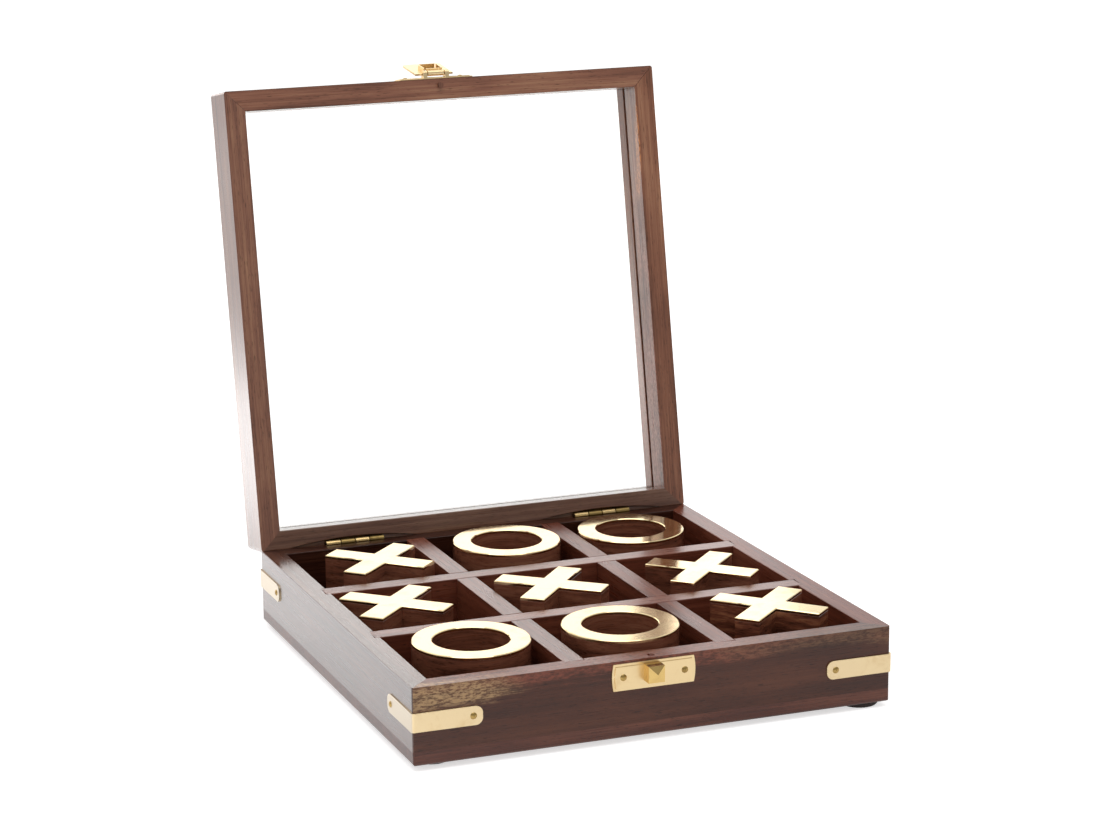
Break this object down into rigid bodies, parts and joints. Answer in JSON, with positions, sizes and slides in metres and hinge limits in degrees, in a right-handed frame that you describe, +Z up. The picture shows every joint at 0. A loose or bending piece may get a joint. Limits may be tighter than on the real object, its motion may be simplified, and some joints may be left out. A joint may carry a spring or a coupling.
{
  "type": "tic-tac-toe board",
  "caption": "Square wooden noughts and crosses box with a hinged glass lid, loose brass-topped pieces in divided compartments, corner straps and a hasp catch.",
  "frame": {"origin": "middle of the bounding box's bottom with the lid open, on the plane the feet stand on", "axes": "+X right seen from the catch, +Y from the catch to the hinges, +Z up"},
  "size_m": [0.1924, 0.2512, 0.2225],
  "materials": {
    "box_wood": "satin lacquer over dark stained hardwood",
    "dark_wood": "satin lacquer over darker stained hardwood",
    "brass": "polished",
    "dull_brass": "unpolished",
    "glass": "clear",
    "foot_rubber": "matt"
  },
  "bodies": {
    "box": {"base_board": "box_wood", "front_wall": "box_wood", "rear_wall": "box_wood", "left_wall": "box_wood", "right_wall": "box_wood", "divider_left": "dark_wood", "divider_right": "dark_wood", "divider_front": "dark_wood", "divider_rear": "dark_wood", "foot_front_left": "foot_rubber", "foot_front_right": "foot_rubber", "foot_rear_left": "foot_rubber", "foot_rear_right": "foot_rubber", "strap_front_left": "brass", "strap_front_right": "brass", "strap_rear_left": "brass", "strap_rear_right": "brass", "strap_nails": "dull_brass", "catch_plate": "brass", "catch_stud": "brass", "catch_nails": "dull_brass", "left_hinge_base_leaf": "brass", "right_hinge_base_leaf": "brass", "left_hinge_pin": "dull_brass", "right_hinge_pin": "dull_brass"},
    "lid": {"lid_front_rail": "box_wood", "lid_rear_rail": "box_wood", "lid_left_stile": "box_wood", "lid_right_stile": "box_wood", "lid_glass": "glass", "left_hinge_lid_leaf": "brass", "right_hinge_lid_leaf": "brass", "locating_peg": "dark_wood", "hasp_plate": "brass", "hasp_nails": "dull_brass", "hasp_pin": "dull_brass"},
    "hasp": {"hasp_flap": "brass"},
    "x_back_left": {"x_back_left_body": "dark_wood", "x_back_left_cap": "brass"},
    "x_mid_left": {"x_mid_left_body": "dark_wood", "x_mid_left_cap": "brass"},
    "x_centre": {"x_centre_body": "dark_wood", "x_centre_cap": "brass"},
    "x_mid_right": {"x_mid_right_body": "dark_wood", "x_mid_right_cap": "brass"},
    "x_front_right": {"x_front_right_body": "dark_wood", "x_front_right_cap": "brass"},
    "o_back_centre": {"o_back_centre_body": "dark_wood", "o_back_centre_cap": "brass"},
    "o_back_right": {"o_back_right_body": "dark_wood", "o_back_right_cap": "brass"},
    "o_front_left": {"o_front_left_body": "dark_wood", "o_front_left_cap": "brass"},
    "o_front_centre": {"o_front_centre_body": "dark_wood", "o_front_centre_cap": "brass"}
  },
  "joints": [
    {"name": "lid_hinge", "type": "hinge", "parent": "box", "child": "lid", "pos_m": [0, 0.0698, 0.0319], "axis": [-1, 0, 0], "range_deg": [-100.6, 0]},
    {"name": "hasp_hinge", "type": "hinge", "parent": "lid", "child": "hasp", "pos_m": [-0.0027, 0.1066, 0.21984], "axis": [-1, 0, 0], "range_deg": [-163, 0]},
    {"name": "lift_x_back_left", "type": "slide", "parent": "box", "child": "x_back_left", "axis": [0, 0, 1], "range_m": [0, 0.04]},
    {"name": "lift_x_mid_left", "type": "slide", "parent": "box", "child": "x_mid_left", "axis": [0, 0, 1], "range_m": [0, 0.04]},
    {"name": "lift_x_centre", "type": "slide", "parent": "box", "child": "x_centre", "axis": [0, 0, 1], "range_m": [0, 0.04]},
    {"name": "lift_x_mid_right", "type": "slide", "parent": "box", "child": "x_mid_right", "axis": [0, 0, 1], "range_m": [0, 0.04]},
    {"name": "lift_x_front_right", "type": "slide", "parent": "box", "child": "x_front_right", "axis": [0, 0, 1], "range_m": [0, 0.04]},
    {"name": "lift_o_back_centre", "type": "slide", "parent": "box", "child": "o_back_centre", "axis": [0, 0, 1], "range_m": [0, 0.04]},
    {"name": "lift_o_back_right", "type": "slide", "parent": "box", "child": "o_back_right", "axis": [0, 0, 1], "range_m": [0, 0.04]},
    {"name": "lift_o_front_left", "type": "slide", "parent": "box", "child": "o_front_left", "axis": [0, 0, 1], "range_m": [0, 0.04]},
    {"name": "lift_o_front_centre", "type": "slide", "parent": "box", "child": "o_front_centre", "axis": [0, 0, 1], "range_m": [0, 0.04]}
  ]
}
